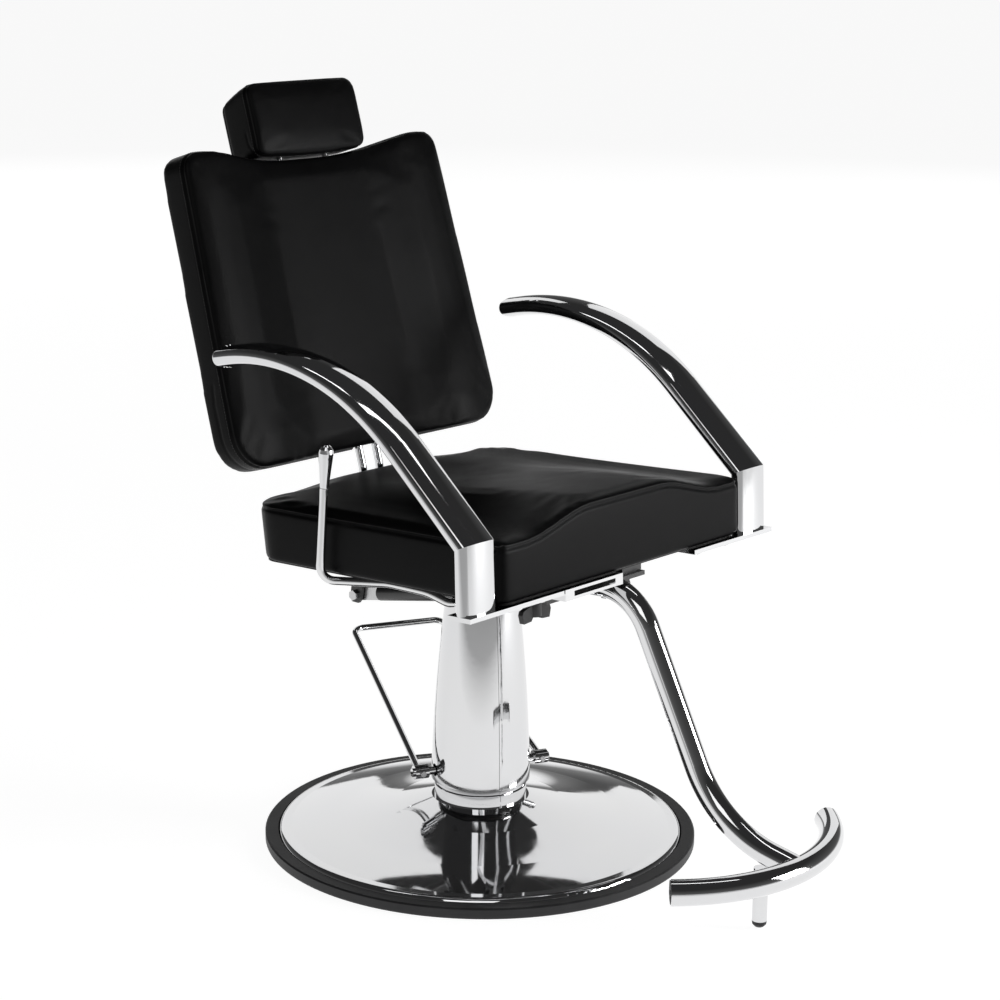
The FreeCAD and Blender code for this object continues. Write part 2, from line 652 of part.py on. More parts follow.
def make_arm_bolts():
    bolts = []
    for side in (-1, 1):
        for reach in (num("arm_bolt_place"), num("arm_bolt_place") + 62):
            bolt = hex_bolt(num("arm_bolt_radius"), num("foot_bar_sheet") - 0.1, 5.5)
            bolt.translate(Vector(side * reach, num("arm_post_y"),
                                  -num("board_sheet") - num("foot_bar_sheet")))
            bolts.append(bolt)
    group("arm_bolts", bolts, seat_frame_place)

    body = new_body("footrest_strap", in_frame(
        seat_frame_place, 0, "arm_post_y - 8", "-board_sheet - 9"))
    face = new_sketch(body, "face", "XZ_Plane")
    draw(face, [(-136, -6), (-18.5, -6), (-18.5, 9), (-136, 9)])
    pad(body, face, 22, both_ways=True)
    slot = new_sketch(body, "slot", "XZ_Plane")
    draw(slot, [(-118, -2), (-34, -2), (-34, 5), (-118, 5)])
    pocket(body, slot, 40, both_ways=True)


# ---------------------------------------------------------------- back

def make_hinge():
    half = num("frame_half_width")
    pin_place = Placement(Vector(-half - 4, num("hinge_y"), num("hinge_z")), TURN_X)
    turned("hinge_pin", ring_corners(0, "hinge_pin_radius", 0, 2 * half + 8), pin_place)
    clips = []
    for x in (-half - 3, half + 1):
        clip = Part.makeCylinder(11, 2).cut(Part.makeCylinder(num("hinge_pin_radius"), 2))
        clip.Placement = Placement(Vector(x, num("hinge_y"), num("hinge_z")), TURN_X)
        clips.append(clip)
    group("hinge_clips", clips)
    length = 2 * (half - num("frame_sheet") - 1)
    tube_place = Placement(Vector(-length / 2, num("hinge_y"), num("hinge_z")), TURN_X)
    turned("back_pivot_tube", ring_corners(
        "hinge_pin_radius + running_fit", "pivot_tube_radius", 0, length), tube_place)


def make_crank():
    body = new_body("back_crank", Placement(Vector(num("crank_x"), 0, 0), Rotation()))
    for side in (-1, 1):
        plate = new_sketch(body, f"plate_{side + 1}", "YZ_Plane", lift=side * 9)
        draw(plate, [
            ("hinge_y - 11", "hinge_z - 5.5"), ("strut_rear_y - 10", "strut_rear_z - 6"),
            ("strut_rear_y - 6", "strut_rear_z - 11"), ("strut_rear_y + 6", "strut_rear_z - 11"),
            ("strut_rear_y + 10", "strut_rear_z - 6"), ("hinge_y + 11", "hinge_z - 5.5")])
        pad(body, plate, 5, backwards=side < 0)
    bridge = new_sketch(body, "bridge", "YZ_Plane")
    draw(bridge, [("hinge_y - 11", "hinge_z - 20"), ("hinge_y + 11", "hinge_z - 20"),
                  ("hinge_y + 11", "hinge_z - 5.5"), ("hinge_y - 11", "hinge_z - 5.5")])
    pad(body, bridge, 18, both_ways=True)
    saddle = new_sketch(body, "saddle", "YZ_Plane")
    draw_circle(saddle, ("hinge_y", "hinge_z"), "pivot_tube_radius")
    pocket(body, saddle, 60, both_ways=True)
    hole = new_sketch(body, "hole", "YZ_Plane")
    draw_circle(hole, ("strut_rear_y", "strut_rear_z"), "strut_pin_radius + 0.02")
    pocket(body, hole, 60, both_ways=True)

    pin = Part.makeCylinder(num("strut_pin_radius"), 38, Vector(0, 0, -20))
    flat = 7.5
    corners = [Vector(flat * math.cos(math.radians(60 * k)), flat * math.sin(math.radians(60 * k)), 14.2)
               for k in range(7)]
    head = Part.Face(Part.makePolygon(corners)).extrude(Vector(0, 0, 5.5))
    shape = fuse_all([pin, head])
    rear = Placement(Vector(num("crank_x"), num("strut_rear_y"), num("strut_rear_z")), TURN_MINUS_X)
    group("crank_pin", [shape], rear)
    front_y, front_z = strut_front()
    front = Placement(Vector(num("crank_x"), front_y, front_z), TURN_MINUS_X)
    group("strut_pin", [shape.copy()], front)


def back_point(up, depth):
    """A place (y, z) at a height up the back and a depth behind its front plane."""
    lean = math.radians(num("back_lean"))
    return (num("back_y") + up * math.sin(lean) + depth * math.cos(lean),
            num("back_z") + up * math.cos(lean) - depth * math.sin(lean))


def make_back_bars():
    hinge_y = num("hinge_y")
    hinge_z = num("hinge_z")
    depth = num("back_bar_depth")
    knee = back_point(-34, depth)
    top = back_point(62, depth)
    radius = num("back_bar_radius")
    tube = num("pivot_tube_radius")
    bars = []
    for side in (-1, 1):
        x = side * num("back_bar_offset")
        points = [Vector(x, hinge_y + tube - 2, hinge_z), Vector(x, knee[0], hinge_z + 2),
                  Vector(x, knee[0], knee[1]), Vector(x, top[0], top[1])]
        bar = rod_shape(points, [30, 40], radius)
        clear = Part.makeCylinder(tube, 60, Vector(x - 30, hinge_y, hinge_z), Vector(1, 0, 0))
        bars.append(bar.cut(clear))
    group("back_bars", bars)

    body = new_body("back_mount_plate", back_frame_place)
    plate = new_sketch(body, "plate", "XZ_Plane", lift="-(back_bar_depth + back_bar_radius)")
    draw(plate, [(-30, 4), (30, 4), (30, 70), (-30, 70)])
    pad(body, plate, "back_side - back_bar_depth - back_bar_radius", backwards=True)


def back_outline(sketch, inset=0):
    """The back's outline: round lower corners, a tapered waist and two raised wings."""
    low = f"(back_half_width - {inset})"
    high = f"(back_top_half - {inset})"
    top = f"(back_length - {inset})"
    foot = f"{inset}"
    draw(sketch, [
        (f"-{low} + 48", foot), (f"{low} - 48", foot), (low, f"{foot} + 48"), (high, f"{top} - 26"),
        (f"{high} - 26", top), (200, top), (70, f"{top} - 22"), (-70, f"{top} - 22"),
        (-200, top), (f"-{high} + 26", top), (f"-{high}", f"{top} - 26"), (f"-{low}", f"{foot} + 48")],
        arcs={1: (48, 1), 3: (27, 1), 9: (27, 1), 11: (48, 1)})
    return sketch


def make_back():
    body = new_body("back_cushion", back_frame_place)
    section = new_sketch(body, "section", "XY_Plane")
    draw(section, [
        ("-back_half_width", 0), (-200, 0), (-105, "back_hollow"), (105, "back_hollow"), (200, 0),
        ("back_half_width", 0), ("back_half_width", "back_side + back_wrap"),
        ("-back_half_width", "back_side + back_wrap")])
    pad(body, section, "back_length")
    trim = new_sketch(body, "trim", "XZ_Plane", lift="-back_side - back_wrap - 10")
    back_outline(trim)
    draw(trim, [(-400, -50), (400, -50), (400, 600), (-400, 600)])
    pocket(body, trim, "back_side + back_wrap + 60", backwards=True)
    # the vinyl wraps round the edge of the board
    recess = new_sketch(body, "board_recess", "XZ_Plane", lift="-back_side - back_wrap - 1")
    back_outline(recess, 5.5)
    pocket(body, recess, "back_wrap + 1", backwards=True)
    well = new_sketch(body, "bar_well", "XZ_Plane", lift="-back_side - 1")
    draw(well, [(-32, -1), (32, -1), (32, 72), (-32, 72)])
    pocket(body, well, "back_side - back_bar_depth + back_bar_radius + 1.5", backwards=True)
    for side in (-1, 1):
        guide = new_sketch(body, f"guide_well_{side + 1}", "XZ_Plane", lift="-back_side - 1")
        near = f"{side} * (post_offset - 9)"
        far = f"{side} * (post_offset + 9)"
        draw(guide, [(near, 296), (far, 296), (far, 440), (near, 440)])
        pocket(body, guide, "back_side - post_depth + 9.5", backwards=True)

    body = new_body("back_board", back_frame_place)
    sheet_sketch = new_sketch(body, "outline", "XZ_Plane", lift="-back_side")
    back_outline(sheet_sketch, 6)
    pad(body, sheet_sketch, "back_board_sheet", backwards=True)

    body = new_body("back_panel", back_frame_place)
    sheet_sketch = new_sketch(body, "outline", "XZ_Plane", lift="-(back_side + back_board_sheet)")
    back_outline(sheet_sketch, 6)
    pad(body, sheet_sketch, "back_panel_sheet", backwards=True)


def make_headrest():
    top = "head_low + head_length"
    body = new_body("headrest_cushion", back_frame_place)
    front = new_sketch(body, "front", "XZ_Plane")
    half = "head_half_width"
    draw(front, [
        (f"-{half} + 12", "head_low"), (f"{half} - 12", "head_low"), (half, "head_low + 12"),
        (half, f"{top} - 14"), (f"{half} - 14", top), (f"-{half} + 14", top),
        (f"-{half}", f"{top} - 14"), (f"-{half}", "head_low + 12")],
        arcs={1: (12.5, 1), 3: (14.5, 1), 5: (14.5, 1), 7: (12.5, 1)})
    pad(body, front, "head_depth", backwards=True)
    slope = new_sketch(body, "top_slope", "YZ_Plane")
    draw(slope, [(6, f"{top} + 1"), ("head_depth + 5", f"{top} + 1"), ("head_depth + 5", f"{top} - 18")])
    pocket(body, slope, 300, both_ways=True)
    for side in (-1, 1):
        hole = new_sketch(body, f"post_hole_{side + 1}", "XY_Plane", lift="head_low - 1")
        draw_circle(hole, (f"{side} * post_offset", "post_depth"), "post_radius + 0.05")
        pocket(body, hole, 41, backwards=True)

    for side, hand in ((-1, "right"), (1, "left")):
        place = in_frame(back_frame_place, f"{side} * post_offset", "post_depth", "head_low + 38")
        turned(f"headrest_post_{hand}", ring_corners(0, "post_radius", "-post_length", 0), place)
        guide_place = in_frame(back_frame_place, f"{side} * post_offset", "post_depth", 298)
        turned(f"headrest_guide_{hand}", ring_corners(
            "post_radius + running_fit", "post_radius + 3", 0, 108), guide_place)


# ---------------------------------------------------------------- recline

def make_strut():
    rise = num("strut_rise")
    along = Rotation(Vector(1, 0, 0), 90 - rise)      # own Z runs from the rear pin to the front pin
    rear = Placement(Vector(num("crank_x"), num("strut_rear_y"), num("strut_rear_z")), along)
    body = new_body("gas_end_block", rear)
    block = new_sketch(body, "block", "XY_Plane", lift=-8)
    draw(block, [(-7.5, -9), (7.5, -9), (7.5, 9), (-7.5, 9)])
    pad(body, block, 46)
    eye = new_sketch(body, "eye", "YZ_Plane")
    draw_circle(eye, (0, 0), "strut_pin_radius + 2.2")
    pocket(body, eye, 40, both_ways=True)

    bore = "strut_radius - 2.5"
    turned("gas_cylinder", [
        (0, 38), ("strut_radius", 38), ("strut_radius", 166), ("strut_radius - 2", 168),
        (4.05, 168), (4.05, 160), (bore, 160), (bore, 42), (0, 42)], rear)
    turned("gas_rod", [
        (0, 108), (8, 108), (8, 114), (4, 114), (4, 222), (0, 222)], rear)
    body = new_body("release_head", rear)
    block = new_sketch(body, "block", "XY_Plane", lift=222)
    draw(block, [(-7.5, -9), (7.5, -9), (7.5, 9), (-7.5, 9)])
    pad(body, block, 28)
    eye = new_sketch(body, "eye", "YZ_Plane")
    draw_circle(eye, (0, "strut_length"), "strut_pin_radius + running_fit")
    pocket(body, eye, 40, both_ways=True)


def make_hand_lever():
    radius = num("lever_rod_radius")
    pivot = Vector(0, num("lever_y"), num("lever_z"))
    elbow = Vector(-266, 52, 419.5)
    rod_top = Vector(-266, 42.5, 546)
    points = [pivot + Vector(-104.8, 0, 0), pivot + Vector(-146, 0, 0), Vector(-166, -49, 402),
              Vector(-195, -8, 412), elbow, rod_top]
    rod = rod_shape(points, [14, 60, 60, 21], radius)
    boss = Part.makeCylinder(radius + 3, 8, pivot + Vector(-112, 0, 0), Vector(-1, 0, 0))
    group("recline_rod", [fuse_all([rod, boss])])
    upright = Rotation(Vector(0, 0, 1), rod_top - elbow)
    grip = "grip_radius"
    neck = "lever_rod_radius"
    turned("recline_grip", [
        (0, 0.05), (f"{neck} - 0.5", 0.05), (neck, 0.7), (f"{grip} - 0.4", "grip_length - 16"),
        (grip, "grip_length - 11"), (f"{grip} - 1", "grip_length - 6"),
        (f"{grip} - 3.5", "grip_length - 2"), (f"{grip} - 6.5", "grip_length"), (0, "grip_length")],
        Placement(rod_top, upright))


# ---------------------------------------------------------------- footrest

def foot_frame():
    return in_frame(seat_frame_place, 0, "foot_root_y", "-foot_tube_drop")


def foot_turns():
    """The footrest tube's corners (y, z) from its root, in its own tilted frame."""
    fall = math.radians(num("foot_fall"))
    end_fall = math.radians(num("foot_end_fall"))
    one = num("foot_bend_one")
    two = num("foot_bend_two")
    run = num("foot_root_run")
    straight = num("foot_straight")
    first = (-run, 0)
    second = (first[0] - one * math.sin(fall), -one * (1 - math.cos(fall)))
    third = (second[0] - straight * math.cos(fall), second[1] - straight * math.sin(fall))
    fourth = (third[0] - two * (math.sin(fall) - math.sin(end_fall)),
              third[1] - two * (math.cos(end_fall) - math.cos(fall)))
    return first, second, third, fourth


def make_footrest():
    place = foot_frame()
    tube = doc.addObject("PartDesign::Body", "Foot_tube")
    tube.Placement = place
    section = new_sketch(tube, "section", "XZ_Plane")
    draw_circle(section, (0, 0), "foot_tube_radius")
    draw_circle(section, (0, 0), "foot_tube_radius - foot_tube_wall")
    first, second, third, fourth = foot_turns()
    fall = math.radians(num("foot_end_fall"))
    run = num("foot_end_run")
    end = (fourth[0] - run * math.cos(fall), fourth[1] - run * math.sin(fall))
    path = new_sketch(tube, "path", "YZ_Plane")
    draw(path, [(0, 0), first, second, third, fourth, end],
         arcs={1: ("foot_bend_one", 1), 3: ("foot_bend_two", -1)}, closed=False)
    pipe(tube, section, path)

    # the cross bar, and the tube's end coped to it
    bar_place = Placement(
        Vector(0, num("cross_bar_front + cross_bar_bend"), num("cross_bar_height")),
        Rotation(Vector(0, 0, 1), -90))
    bar = new_body("footrest_bar", bar_place)
    ring = new_sketch(bar, "ring", "XZ_Plane")
    draw_circle(ring, ("cross_bar_bend", 0), "cross_bar_radius")
    draw_circle(ring, ("cross_bar_bend", 0), "cross_bar_radius - foot_tube_wall")
    sweep = bar.newObject("PartDesign::Revolution", "Bar_sweep")
    sweep.Profile = ring
    sweep.ReferenceAxis = (ring, ["V_Axis"])
    sweep.Midplane = True
    bind(sweep, "Angle", "cross_bar_sweep")
    outside = doc.addObject("Part::Torus", "Bar_outside")
    bind(outside, "Radius1", "cross_bar_bend")
    bind(outside, "Radius2", "cross_bar_radius")
    outside.Placement = bar_place
    coped = doc.addObject("Part::Cut", "Coped_tube")
    coped.Base = tube
    coped.Tool = outside
    keep(coped, "footrest_tube")

    caps = []
    half_sweep = math.radians(num("cross_bar_sweep") / 2)
    for side in (-1, 1):
        cap = Part.makeCylinder(num("cross_bar_radius - foot_tube_wall") - 0.2, 6, Vector(0, 0, -6.8))
        reach = num("cross_bar_bend")
        cap.Placement = Placement(
            Vector(reach * math.cos(half_sweep), side * reach * math.sin(half_sweep), 0),
            Rotation(Vector(0, 0, 1), Vector(-math.sin(half_sweep), side * math.cos(half_sweep), 0)))
        caps.append(cap)
    group("footrest_bar_caps", caps, bar_place)


def make_foot_hardware():
    place = foot_frame()
    body = new_body("footrest_carriage", place)
    plate = new_sketch(body, "plate", "XY_Plane", lift=-8.1)
    notch = math.sqrt(num("foot_tube_radius") ** 2 - 2.1 ** 2) + 0.15
    draw(plate, [(-104, -80), (-notch, -80), (-notch, 0.1), (notch, 0.1), (notch, -80), (104, -80),
                 (104, 14), (-104, 14)])
    pad(body, plate, 6)
    knob = place.inverse().multVec(seat_frame_place.multVec(Vector(0, num("knob_y"), 0))).y
    for side in (-1, 1):
        slot = new_sketch(body, f"slot_{side + 1}", "XY_Plane", lift=-9)
        x = side * num("knob_offset")
        draw(slot, [(x - 4.6, knob - 5), (x + 4.6, knob - 5), (x + 4.6, knob + 48), (x - 4.6, knob + 48)])
        pocket(body, slot, 8, backwards=True)

    leg_y = -487
    top = 104 - num("foot_tube_radius")
    leg_place = Placement(Vector(0, leg_y, 0), Rotation())
    turned("footrest_leg", ring_corners(0, 10, 12, top - 3), leg_place)
    turned("footrest_foot", [(0, 3), (6, 3.6), (9.2, 7), (10, 12), (0, 12)], leg_place)


def make_knobs():
    for side, hand in ((-1, "right"), (1, "left")):
        place = in_frame(seat_frame_place, f"{side} * knob_offset", "knob_y", "-foot_tube_drop - 8.2")
        body = new_body(f"wing_knob_{hand}", place)
        outline = draw(new_sketch(body, "hub", "XZ_Plane"), ring_corners(4.02, 9.5, -24, 0))
        feature = body.newObject("PartDesign::Revolution", f"Knob_{hand}")
        feature.Profile = outline
        feature.ReferenceAxis = (outline, ["V_Axis"])
        feature.Angle = 360
        wing = new_sketch(body, "wings", "XZ_Plane")
        for out in (-1, 1):
            draw(wing, [(6 * out, -6), (27 * out, -13), (29 * out, -18), (26 * out, -30),
                        (11 * out, -29), (6 * out, -22)])
        pad(body, wing, 8, both_ways=True)
        turned(f"wing_stud_{hand}", ring_corners(0, 4, -22, 20), place)


make_base()
make_pump()
make_cover()
make_foot_lever()
make_hub()
make_seat_frame()
make_seat()
make_arm("arm_right", -1)
make_arm("arm_left", 1)
make_arm_bolts()
make_hinge()
make_crank()
make_back_bars()
make_back()
make_headrest()
make_strut()
make_hand_lever()
make_footrest()
make_foot_hardware()
make_knobs()
doc.recompute()

for item in doc.Objects:
    if "Invalid" in item.State or "Error" in item.State:
        raise RuntimeError(f"{item.Name} ({item.Label}) failed: {item.State}")
for item in SUBPARTS:
    if item.Shape.isNull() or not item.Shape.isValid():
        raise RuntimeError(f"{item.Label} has no valid shape")

os.makedirs("parts", exist_ok=True)
for item in SUBPARTS:
    item.Shape.exportStep(f"parts/{item.Label}.step")
    print(f"{item.Label}: {item.Shape.Volume / 1000:.1f} cm3, {len(item.Shape.Solids)} solid(s)")
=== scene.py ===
import bmesh
import bpy
import math
from mathutils import Matrix, Vector
from mathutils.bvhtree import BVHTree
from mathutils.kdtree import KDTree
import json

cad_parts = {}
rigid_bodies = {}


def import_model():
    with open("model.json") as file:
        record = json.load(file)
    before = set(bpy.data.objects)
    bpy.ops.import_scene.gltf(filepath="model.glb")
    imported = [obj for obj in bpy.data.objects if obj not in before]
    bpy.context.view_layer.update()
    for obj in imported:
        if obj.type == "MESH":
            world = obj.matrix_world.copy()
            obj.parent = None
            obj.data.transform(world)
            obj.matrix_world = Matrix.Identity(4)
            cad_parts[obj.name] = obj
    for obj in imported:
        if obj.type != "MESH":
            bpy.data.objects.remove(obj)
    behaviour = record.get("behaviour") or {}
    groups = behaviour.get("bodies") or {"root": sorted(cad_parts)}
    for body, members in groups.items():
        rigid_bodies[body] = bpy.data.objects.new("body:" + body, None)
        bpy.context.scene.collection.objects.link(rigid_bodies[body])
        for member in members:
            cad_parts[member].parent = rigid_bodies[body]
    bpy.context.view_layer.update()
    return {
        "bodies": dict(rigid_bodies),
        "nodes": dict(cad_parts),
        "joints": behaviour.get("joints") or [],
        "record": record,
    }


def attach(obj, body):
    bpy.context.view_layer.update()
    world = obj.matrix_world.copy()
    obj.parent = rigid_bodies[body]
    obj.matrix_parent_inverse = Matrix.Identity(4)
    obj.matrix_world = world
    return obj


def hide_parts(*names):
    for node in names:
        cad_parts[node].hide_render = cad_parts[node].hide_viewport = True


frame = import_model()
NODES = frame["nodes"]

# The chair's frames, in metres: the seat leans back by 2.8 degrees, the back by 17.
SEAT = Matrix.Translation((0, 0, 0.4384)) @ Matrix.Rotation(math.radians(-2.8), 4, "X")
BACK = Matrix.Translation((0, 0.197, 0.544)) @ Matrix.Rotation(math.radians(-17), 4, "X")

# Half widths, ends and heights of the pads, in metres along those frames' own axes.
SEAT_HALF = 0.2530
SEAT_FRONT = -0.2570
SEAT_REAR = 0.2040
SEAT_WRAP = 0.0095
SEAT_EDGE = 0.0715
SEAT_CROWN = 0.025
BACK_HALF = 0.2645
BACK_TOP_HALF = 0.249
BACK_LENGTH = 0.4375
BACK_DIP = 0.0215
BACK_HOLLOW = 0.0155
BACK_SIDE = 0.044
BACK_RIM = 0.055
HEAD_LOW = 0.4235
HEAD_HIGH = 0.526
HEAD_HALF = 0.106
HEAD_DEPTH = 0.0715
HEAD_SLOPE = 0.018
HEAD_CROWN = 0.0045
COARSE_CLOTH = 0.005
FINE_CLOTH = 0.004


# ------------------------------------------------------------------ materials

class Nodes:
    """Short names for building a material's nodes."""

    def __init__(self, name):
        self.material = bpy.data.materials.new(name)
        self.material.use_nodes = True
        self.tree = self.material.node_tree
        self.shader = self.tree.nodes["Principled BSDF"]
        self.place = self.add("ShaderNodeTexCoord").outputs["Object"]

    def add(self, kind, **values):
        node = self.tree.nodes.new(kind)
        for key, value in values.items():
            if key in node.inputs:
                node.inputs[key].default_value = value
            else:
                setattr(node, key, value)
        return node

    def join(self, source, target):
        self.tree.links.new(source, target)

    def stretched(self, scale):
        mapping = self.add("ShaderNodeMapping")
        mapping.inputs["Scale"].default_value = scale
        self.join(self.place, mapping.inputs["Vector"])
        return mapping.outputs["Vector"]

    def noise(self, scale, detail=3.0, roughness=0.5, vector=None):
        node = self.add("ShaderNodeTexNoise", Scale=scale, Detail=detail, Roughness=roughness)
        self.join(vector or self.place, node.inputs["Vector"])
        return node.outputs["Fac"]

    def cells(self, scale, feature="DISTANCE_TO_EDGE", vector=None):
        node = self.add("ShaderNodeTexVoronoi", Scale=scale)
        node.feature = feature
        self.join(vector or self.place, node.inputs["Vector"])
        return node.outputs["Distance"]

    def spread(self, value, low, high, start=0.0, end=1.0):
        """value, taken from start..end to low..high."""
        node = self.add("ShaderNodeMapRange")
        node.inputs["From Min"].default_value = start
        node.inputs["From Max"].default_value = end
        node.inputs["To Min"].default_value = low
        node.inputs["To Max"].default_value = high
        self.join(value, node.inputs["Value"])
        return node.outputs["Result"]

    def mix(self, amount, first, last):
        node = self.add("ShaderNodeMix", data_type="RGBA")
        self.join(amount, node.inputs[0])
        node.inputs[6].default_value = (*first, 1)
        node.inputs[7].default_value = (*last, 1)
        return node.outputs[2]

    def bump(self, height, strength, distance, below=None):
        node = self.add("ShaderNodeBump", Strength=strength, Distance=distance)
        self.join(height, node.inputs["Height"])
        if below is not None:
            self.join(below, node.inputs["Normal"])
        return node.outputs["Normal"]

    def set(self, **values):
        for key, value in values.items():
            socket = self.shader.inputs[key.replace("_", " ")]
            if isinstance(value, bpy.types.NodeSocket):
                self.join(value, socket)
            else:
                socket.default_value = value
        return self.material


def make_chrome():
    tone = 0.73
    smooth = 0.035
    n = Nodes("chrome")
    haze = n.noise(9.0, 4.0)
    smudge = n.noise(42.0, 5.0, 0.65)
    wave = n.bump(n.noise(5.0, 1.0), 0.05, 0.004)
    colour = n.mix(haze, (tone * 0.97, tone * 0.975, tone), (tone, tone, tone * 0.995))
    rough = n.spread(smudge, smooth, smooth + 0.05, 0.35, 0.8)
    return n.set(Base_Color=colour, Metallic=1.0, Roughness=rough, Normal=wave)


def make_steel(name, tone, smooth, stretch):
    n = Nodes(name)
    lines = n.noise(60.0, 4.0, 0.6, n.stretched(stretch))
    blotch = n.noise(35.0, 3.0)
    colour = n.mix(blotch, (tone * 0.8,) * 3, (tone, tone * 1.0, tone * 1.02))
    rough = n.spread(lines, smooth, smooth + 0.18)
    return n.set(Base_Color=colour, Metallic=1.0, Roughness=rough, Normal=n.bump(lines, 0.12, 0.0004))


def make_black_paint():
    n = Nodes("black_paint")
    peel = n.noise(420.0, 2.0)
    dust = n.noise(24.0, 6.0, 0.7)
    colour = n.mix(n.spread(dust, 0.0, 1.0, 0.45, 0.9), (0.010, 0.010, 0.011), (0.035, 0.034, 0.033))
    rough = n.spread(dust, 0.28, 0.48)
    return n.set(Base_Color=colour, Roughness=rough, Normal=n.bump(peel, 0.25, 0.0003),
                 Coat_Weight=0.25, Coat_Roughness=0.2)


def make_vinyl():
    """Smooth leathercloth: fine pebbled grain, faint pores and slow changes of gloss."""
    n = Nodes("black_vinyl")
    pebble = n.cells(820.0)
    pores = n.noise(1900.0, 2.0, 0.6)
    slow = n.noise(14.0, 4.0, 0.55)
    colour = n.mix(slow, (0.002, 0.002, 0.0022), (0.004, 0.004, 0.0042))
    rough = n.spread(slow, 0.31, 0.38, 0.3, 0.7)
    grain = n.bump(n.spread(pebble, 0.0, 1.0, 0.0, 0.16), 0.22, 0.00022)
    fine = n.bump(pores, 0.10, 0.00008, grain)
    soft = n.bump(n.noise(26.0, 2.0), 0.10, 0.0012, fine)
    return n.set(Base_Color=colour, Roughness=rough, Normal=soft, Specular_IOR_Level=0.065)


def make_thread():
    n = Nodes("thread")
    twist = n.noise(2600.0, 1.0)
    return n.set(Base_Color=n.mix(twist, (0.018, 0.018, 0.018), (0.05, 0.05, 0.05)), Roughness=0.55,
                 Normal=n.bump(twist, 0.4, 0.0002), Sheen_Weight=0.2)


def make_rubber():
    n = Nodes("black_rubber")
    grit = n.noise(650.0, 3.0, 0.7)
    bloom = n.noise(16.0, 5.0, 0.6)
    colour = n.mix(n.spread(bloom, 0.0, 1.0, 0.4, 0.8), (0.014, 0.014, 0.015), (0.03, 0.03, 0.032))
    return n.set(Base_Color=colour, Roughness=n.spread(bloom, 0.42, 0.6), Specular_IOR_Level=0.4,
                 Normal=n.bump(grit, 0.25, 0.0002))


def make_plastic():
    n = Nodes("black_plastic")
    spark = n.cells(1300.0, "F1")
    tint = n.noise(30.0, 3.0)
    colour = n.mix(tint, (0.011, 0.011, 0.012), (0.018, 0.018, 0.019))
    return n.set(Base_Color=colour, Roughness=n.spread(tint, 0.34, 0.46),
                 Normal=n.bump(spark, 0.2, 0.0002))


def make_board():
    """Board wrapped in thin black lining cloth."""
    n = Nodes("dark_board")
    across = n.noise(90.0, 2.0, 0.5, n.stretched((14.0, 1.0, 1.0)))
    along = n.noise(90.0, 2.0, 0.5, n.stretched((1.0, 14.0, 14.0)))
    blotch = n.noise(8.0, 4.0)
    colour = n.mix(blotch, (0.008, 0.008, 0.008), (0.016, 0.015, 0.015))
    weave = n.bump(along, 0.2, 0.0003, n.bump(across, 0.2, 0.0003))
    return n.set(Base_Color=colour, Roughness=0.7, Normal=weave, Specular_IOR_Level=0.3)


def make_floor():
    """White paper with painted light: it glows brightly behind the set and fades to grey in front of it."""
    n = Nodes("studio_floor")
    cloud = n.noise(0.8, 3.0)
    reach = n.add("ShaderNodeVectorMath", operation="DOT_PRODUCT")
    reach.inputs[1].default_value = (-0.748, -0.664, 0.0)
    n.join(n.place, reach.inputs[0])
    # Painted light: the floor's own emission glow, strong behind the set and fading towards the front.
    painted_glow = n.spread(reach.outputs["Value"], 0.93, 0.38, 0.85, 2.3)
    return n.set(Base_Color=n.mix(cloud, (0.26, 0.26, 0.26), (0.28, 0.28, 0.28)), Roughness=0.8,
                 Specular_IOR_Level=0.0, Emission_Color=(1.0, 1.0, 1.0, 1.0), Emission_Strength=painted_glow)


CHROME = make_chrome()
VINYL = make_vinyl()
THREAD = make_thread()
RUBBER = make_rubber()
PLASTIC = make_plastic()
PAINT = make_black_paint()
BOARD = make_board()
ZINC = make_steel("zinc_steel", 0.62, 0.2, (1.0, 6.0, 1.0))
POLISHED = make_steel("polished_steel", 0.72, 0.08, (1.0, 1.0, 8.0))

LOOKS = {
    CHROME: ["base_plate", "base_collar", "column_cover", "pump_bail", "pump_pins", "pump_collars",
             "arm_right", "arm_left", "arm_right_cap", "arm_left_cap", "back_bars", "footrest_tube",
             "footrest_bar", "footrest_leg", "footrest_strap", "headrest_post_right",
             "headrest_post_left", "recline_rod", "recline_grip"],
    POLISHED: ["ram", "gas_rod"],
    ZINC: ["base_bolts", "pump_set_screws", "board_bolts", "arm_bolts", "hinge_pin", "hinge_clips",
           "crank_pin", "strut_pin", "gas_end_block", "release_head", "wing_stud_right",
           "wing_stud_left", "headrest_guide_right", "headrest_guide_left"],
    PAINT: ["pump_housing", "pump_gland", "mount_hub", "seat_frame", "back_pivot_tube", "back_crank",
            "gas_cylinder", "footrest_carriage", "cover_seat_ring", "back_mount_plate"],
    VINYL: ["seat_cushion", "back_cushion", "headrest_cushion"],
    BOARD: ["seat_board", "back_board", "back_panel"],
    RUBBER: ["base_trim_ring", "footrest_foot"],
    PLASTIC: ["footrest_bar_caps", "wing_knob_right", "wing_knob_left"],
}


def paint(obj, material):
    obj.data.materials.clear()
    obj.data.materials.append(material)


for look, names in LOOKS.items():
    for name in names:
        paint(NODES[name], look)


# ------------------------------------------------------------------ mesh helpers

def smoothstep(value):
    value = max(0.0, min(1.0, value))
    return value * value * (3 - 2 * value)


def new_object(name, bm, material, body, smooth=True):
    mesh = bpy.data.meshes.new(name)
    bm.to_mesh(mesh)
    bm.free()
    obj = bpy.data.objects.new(name, mesh)
    bpy.context.scene.collection.objects.link(obj)
    if smooth:
        for face in mesh.polygons:
            face.use_smooth = True
    mesh.materials.append(material)
    if body:
        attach(obj, body)
    return obj


